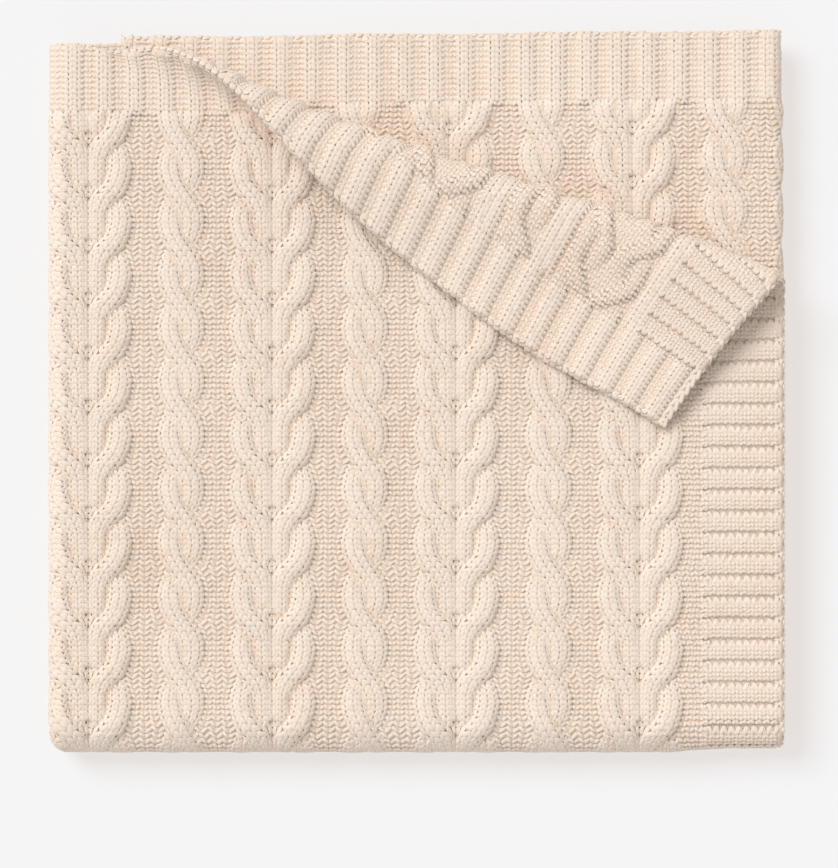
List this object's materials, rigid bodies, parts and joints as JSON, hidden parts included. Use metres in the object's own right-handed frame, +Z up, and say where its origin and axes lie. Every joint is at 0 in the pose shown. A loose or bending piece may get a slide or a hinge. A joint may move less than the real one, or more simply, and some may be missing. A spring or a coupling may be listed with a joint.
{
  "type": "folded cable knit baby blanket",
  "caption": "Baby blanket knitted in rope and horseshoe cables with ribbed ends and welted sides, folded into a flat pack with one corner turned back.",
  "frame": {"origin": "centre of the folded pack's outline, at its flat underside", "axes": "+Z up through the layers, +X towards the free side edge of the top panel, +Y towards the ribbed top edge"},
  "size_m": [0.3524, 0.3476, 0.0565],
  "materials": {
    "knit_cotton": "matte heathered cotton knit"
  },
  "bodies": {
    "root": {"blanket": "knit_cotton"}
  },
  "joints": []
}
